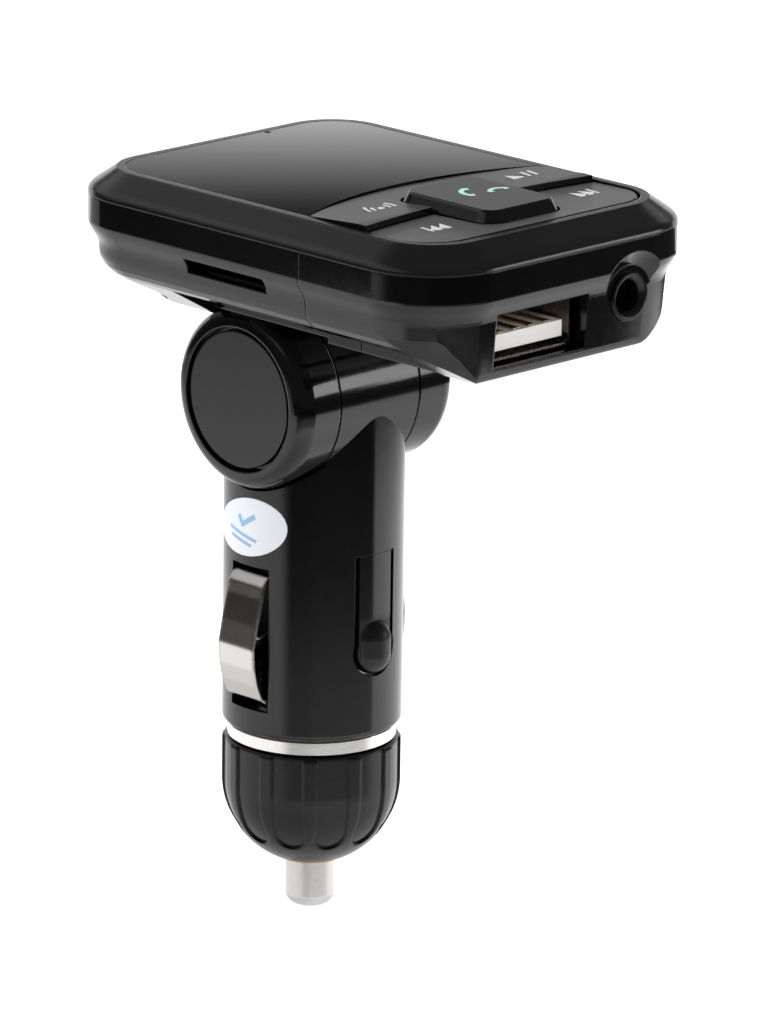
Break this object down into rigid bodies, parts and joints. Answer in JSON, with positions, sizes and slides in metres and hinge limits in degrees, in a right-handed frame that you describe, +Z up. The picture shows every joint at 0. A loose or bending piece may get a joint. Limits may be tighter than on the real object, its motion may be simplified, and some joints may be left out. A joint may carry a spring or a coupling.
{
  "type": "car FM transmitter",
  "caption": "Car FM transmitter: socket plug with fluted nose cap, hinged head with display, rocking keys, call key, card slot, USB and audio sockets.",
  "frame": {"origin": "end of the contact pin, on the plug's axis", "axes": "+Z up the plug's axis to the head, +X towards the USB and audio end of the head, +Y along the hinge axle"},
  "size_m": [0.0601, 0.0446, 0.089],
  "materials": {
    "black_gloss": "moulded, polished",
    "black_satin": "moulded, satin",
    "key_rubber": "soft-touch satin",
    "lens_black": "polished sheet",
    "nickel": "bright nickel plate",
    "steel": "plain",
    "brass": "plain",
    "clear_glass": "clear",
    "board_green": "solder mask",
    "chip_black": "moulded",
    "white_plastic": "moulded",
    "white_film": "printed film",
    "red_sheath": "extruded",
    "amber_film": "flexible film",
    "grey_glass": "display panel",
    "ferrite": "sintered",
    "aluminium_can": "plain"
  },
  "bodies": {
    "plug": {"plug_shell_front": "black_gloss", "plug_shell_rear": "black_gloss", "plug_screw": "steel", "nose_ring": "nickel", "pin_spring": "steel", "spring_seat": "brass", "ground_straps": "brass", "power_board": "board_green", "power_coil": "ferrite", "power_capacitors": "aluminium_can", "power_chip": "chip_black", "supply_wires": "red_sheath", "sticker": "white_film", "hinge_axle": "steel", "axle_clips": "steel"},
    "nose_bush": {"pin_bush": "brass"},
    "nose": {"nose_cap": "black_satin"},
    "pin": {"contact_pin": "nickel", "fuse_glass": "clear_glass", "fuse_caps": "nickel", "fuse_wire": "steel"},
    "left_ground_spring": {"ground_spring_left": "nickel"},
    "right_ground_spring": {"ground_spring_right": "nickel"},
    "front_tongue": {"retention_tongue_front": "black_gloss"},
    "rear_tongue": {"retention_tongue_rear": "black_gloss"},
    "head": {"head_shell_rear": "black_gloss", "head_shell_front": "black_gloss", "head_top_frame": "black_satin", "hinge_cap_left": "black_gloss", "hinge_cap_right": "black_gloss", "friction_washers": "steel", "display_lens": "lens_black", "display_module": "grey_glass", "display_cable": "amber_film", "main_board": "board_green", "radio_chips": "chip_black", "crystal": "aluminium_can", "tact_switches": "steel", "microphone": "aluminium_can", "microphone_boot": "key_rubber", "card_reader": "nickel", "usb_shell": "nickel", "usb_tongue": "white_plastic", "usb_contacts": "brass", "aux_socket": "black_satin", "aux_collar": "black_satin", "head_screws": "steel", "supply_leads": "red_sheath"},
    "call_button": {"call_key": "key_rubber"},
    "back_rocker": {"back_key_bar": "key_rubber"},
    "front_rocker": {"front_key_bar": "key_rubber"}
  },
  "joints": [
    {"name": "head_tilt", "type": "hinge", "parent": "plug", "child": "head", "pos_m": [0, 0, 0.0624], "axis": [0, 1, 0], "range_deg": [-75, 75]},
    {"name": "nose_travel", "type": "slide", "parent": "plug", "child": "nose_bush", "axis": [0, 0, 1], "range_m": [-0.00451, 0], "deforming": ["pin_spring"]},
    {"name": "nose_turn", "type": "hinge", "parent": "nose_bush", "child": "nose", "pos_m": [0, 0, 0.013], "axis": [0, 0, 1], "range_deg": [-1080, 0]},
    {"name": "pin_press", "type": "slide", "parent": "nose_bush", "child": "pin", "axis": [0, 0, 1], "range_m": [0, 0.003], "stiffness_N_per_m": 600, "springref_m": -0.003, "deforming": ["pin_spring"]},
    {"name": "left_spring_press", "type": "slide", "parent": "plug", "child": "left_ground_spring", "axis": [0, 1, 0], "range_m": [0, 0.0018], "stiffness_N_per_m": 2200, "springref_m": -0.0005},
    {"name": "right_spring_press", "type": "slide", "parent": "plug", "child": "right_ground_spring", "axis": [0, -1, 0], "range_m": [0, 0.0018], "stiffness_N_per_m": 2200, "springref_m": -0.0005},
    {"name": "front_tongue_bend", "type": "hinge", "parent": "plug", "child": "front_tongue", "pos_m": [0.00875, 0, 0.0442], "axis": [0, 1, 0], "range_deg": [0, 6], "stiffness_Nm_per_rad": 0.25, "springref_deg": -1.15},
    {"name": "rear_tongue_bend", "type": "hinge", "parent": "plug", "child": "rear_tongue", "pos_m": [-0.00875, 0, 0.0442], "axis": [0, -1, 0], "range_deg": [0, 6], "stiffness_Nm_per_rad": 0.25, "springref_deg": -1.15},
    {"name": "call_press", "type": "slide", "parent": "head", "child": "call_button", "axis": [0, 0, -1], "range_m": [0, 0.00035], "stiffness_N_per_m": 3500, "springref_m": -0.0002},
    {"name": "back_bar_rock", "type": "hinge", "parent": "head", "child": "back_rocker", "pos_m": [0.0153, 0, 0.0861], "axis": [1, 0, 0], "range_deg": [-1.3, 1.3], "stiffness_Nm_per_rad": 0.9},
    {"name": "front_bar_rock", "type": "hinge", "parent": "head", "child": "front_rocker", "pos_m": [0.0342, 0, 0.0861], "axis": [1, 0, 0], "range_deg": [-1.3, 1.3], "stiffness_Nm_per_rad": 0.9}
  ],
  "couplings": [
    {"joint": "nose_travel", "follows": "nose_turn", "m_per_rad": 0.00023873}
  ]
}
